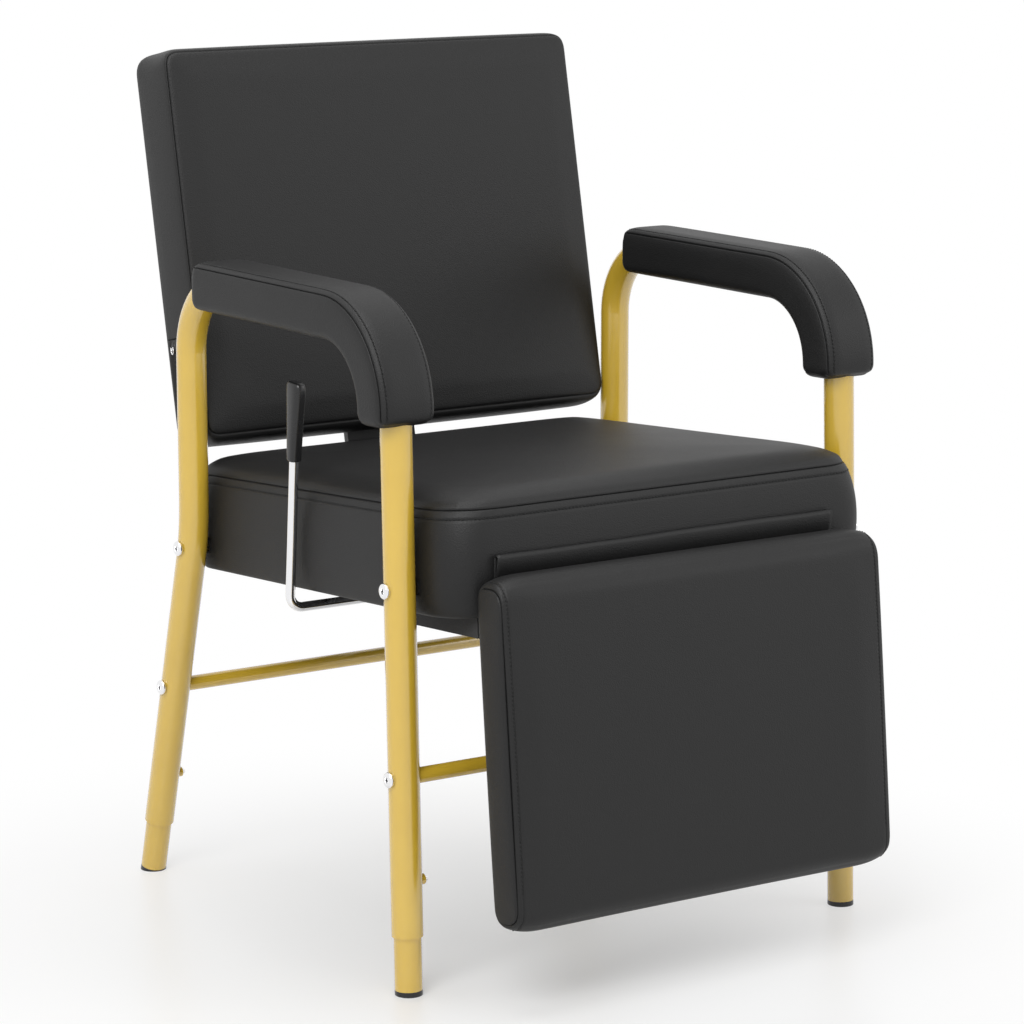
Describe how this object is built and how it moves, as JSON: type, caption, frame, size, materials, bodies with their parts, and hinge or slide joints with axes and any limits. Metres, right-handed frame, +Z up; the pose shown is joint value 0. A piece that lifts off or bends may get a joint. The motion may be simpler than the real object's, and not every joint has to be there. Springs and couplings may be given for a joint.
{
  "type": "shampoo chair",
  "caption": "Salon shampoo chair with bent tube side frames, padded arms, a reclining back and a legrest that rises with it, released by a side lever.",
  "frame": {"origin": "on the floor under the middle of the chair", "axes": "+Z up, +Y to the rear, +X to the left of a person in the chair"},
  "size_m": [0.612, 0.7056, 0.9051],
  "materials": {
    "gold_paint": "satin-gloss gold metallic paint on steel tube",
    "chrome": "polished chrome plate",
    "black_vinyl": "coated upholstery fabric with a fine leather grain, satin, over foam",
    "black_plastic": "moulded black plastic",
    "black_steel": "black powder-coated steel plate",
    "plain_steel": "zinc-plated steel",
    "timber": "bare softwood and plywood",
    "lined_board": "plywood faced with black lining cloth"
  },
  "bodies": {
    "frame": {"side_frame_left": "gold_paint", "side_frame_right": "gold_paint", "front_crossbar": "gold_paint", "rear_crossbar": "gold_paint", "crossbar_bolts": "chrome", "seat_bolts": "chrome", "seat_spacers": "black_plastic", "leg_clamp_screws": "chrome", "arm_pad_left": "black_vinyl", "arm_pad_right": "black_vinyl", "seat_box": "timber", "seat_base_board": "lined_board", "base_board_screws": "plain_steel", "base_corner_blocks": "lined_board", "seat_cushion": "black_vinyl", "seat_flap": "black_vinyl", "back_hinge_ear_left": "black_steel", "back_hinge_ear_right": "black_steel", "back_pivot_pin": "plain_steel", "legrest_hook_left": "black_steel", "legrest_hook_right": "black_steel", "lock_housing": "plain_steel", "lock_bushes": "black_plastic", "clutch_springs": "plain_steel", "lock_saddles": "black_steel", "lever_bearing_outer": "black_plastic", "lever_bearing_inner": "black_plastic"},
    "leg_front_left": {"leg_extension_front_left": "gold_paint", "foot_cap_front_left": "black_plastic"},
    "leg_front_right": {"leg_extension_front_right": "gold_paint", "foot_cap_front_right": "black_plastic"},
    "leg_rear_left": {"leg_extension_rear_left": "gold_paint", "foot_cap_rear_left": "black_plastic"},
    "leg_rear_right": {"leg_extension_rear_right": "gold_paint", "foot_cap_rear_right": "black_plastic"},
    "back": {"back_cushion": "black_vinyl", "back_board": "lined_board", "back_bracket": "black_steel", "back_bracket_bolts": "plain_steel", "back_crank_pin": "plain_steel", "zip_sliders": "chrome"},
    "legrest": {"legrest_cushion": "black_vinyl", "legrest_board": "lined_board", "legrest_hinge_left": "black_steel", "legrest_hinge_right": "black_steel", "legrest_hinge_pins": "plain_steel", "legrest_crank": "black_steel", "legrest_crank_pin": "plain_steel"},
    "lock_rod": {"lock_rod": "chrome", "rod_tongue_front": "plain_steel", "rod_tongue_rear": "plain_steel"},
    "lever": {"lever_rod": "chrome", "lever_grip": "black_plastic", "lever_finger": "black_steel"},
    "release_tab": {"release_tab": "black_steel"}
  },
  "joints": [
    {"name": "recline", "type": "hinge", "parent": "frame", "child": "back", "pos_m": [0, 0.27397, 0.42395], "axis": [-1, 0, 0], "range_deg": [0, 36]},
    {"name": "legrest_lift", "type": "hinge", "parent": "frame", "child": "legrest", "pos_m": [0, -0.29479, 0.41824], "axis": [-1, 0, 0], "range_deg": [0, 63]},
    {"name": "rod_slide", "type": "slide", "parent": "frame", "child": "lock_rod", "axis": [0, -0.9979, 0.0645], "range_m": [0, 0.06979]},
    {"name": "lever_pull", "type": "hinge", "parent": "frame", "child": "lever", "pos_m": [0, 0.01849, 0.34888], "axis": [-1, 0, 0], "range_deg": [0, 22], "stiffness_Nm_per_rad": 4, "springref_deg": -17.19},
    {"name": "tab_turn", "type": "hinge", "parent": "frame", "child": "release_tab", "pos_m": [0, 0.04286, 0.33829], "axis": [0, -0.9979, 0.0645], "range_deg": [0, 19.21]},
    {"name": "leg_slide_front_left", "type": "slide", "parent": "frame", "child": "leg_front_left", "axis": [0, 0.0314, 0.9995], "range_m": [-0.04, 0.03]},
    {"name": "leg_slide_front_right", "type": "slide", "parent": "frame", "child": "leg_front_right", "axis": [0, 0.0314, 0.9995], "range_m": [-0.04, 0.03]},
    {"name": "leg_slide_rear_left", "type": "slide", "parent": "frame", "child": "leg_rear_left", "axis": [0, -0.2571, 0.9664], "range_m": [-0.04, 0.03]},
    {"name": "leg_slide_rear_right", "type": "slide", "parent": "frame", "child": "leg_rear_right", "axis": [0, -0.2571, 0.9664], "range_m": [-0.04, 0.03]}
  ],
  "couplings": [
    {"joint": "legrest_lift", "follows": "recline", "ratio": 1.75},
    {"joint": "rod_slide", "follows": "recline", "m_per_rad": 0.11075},
    {"joint": "tab_turn", "follows": "lever_pull", "ratio": 0.864}
  ]
}
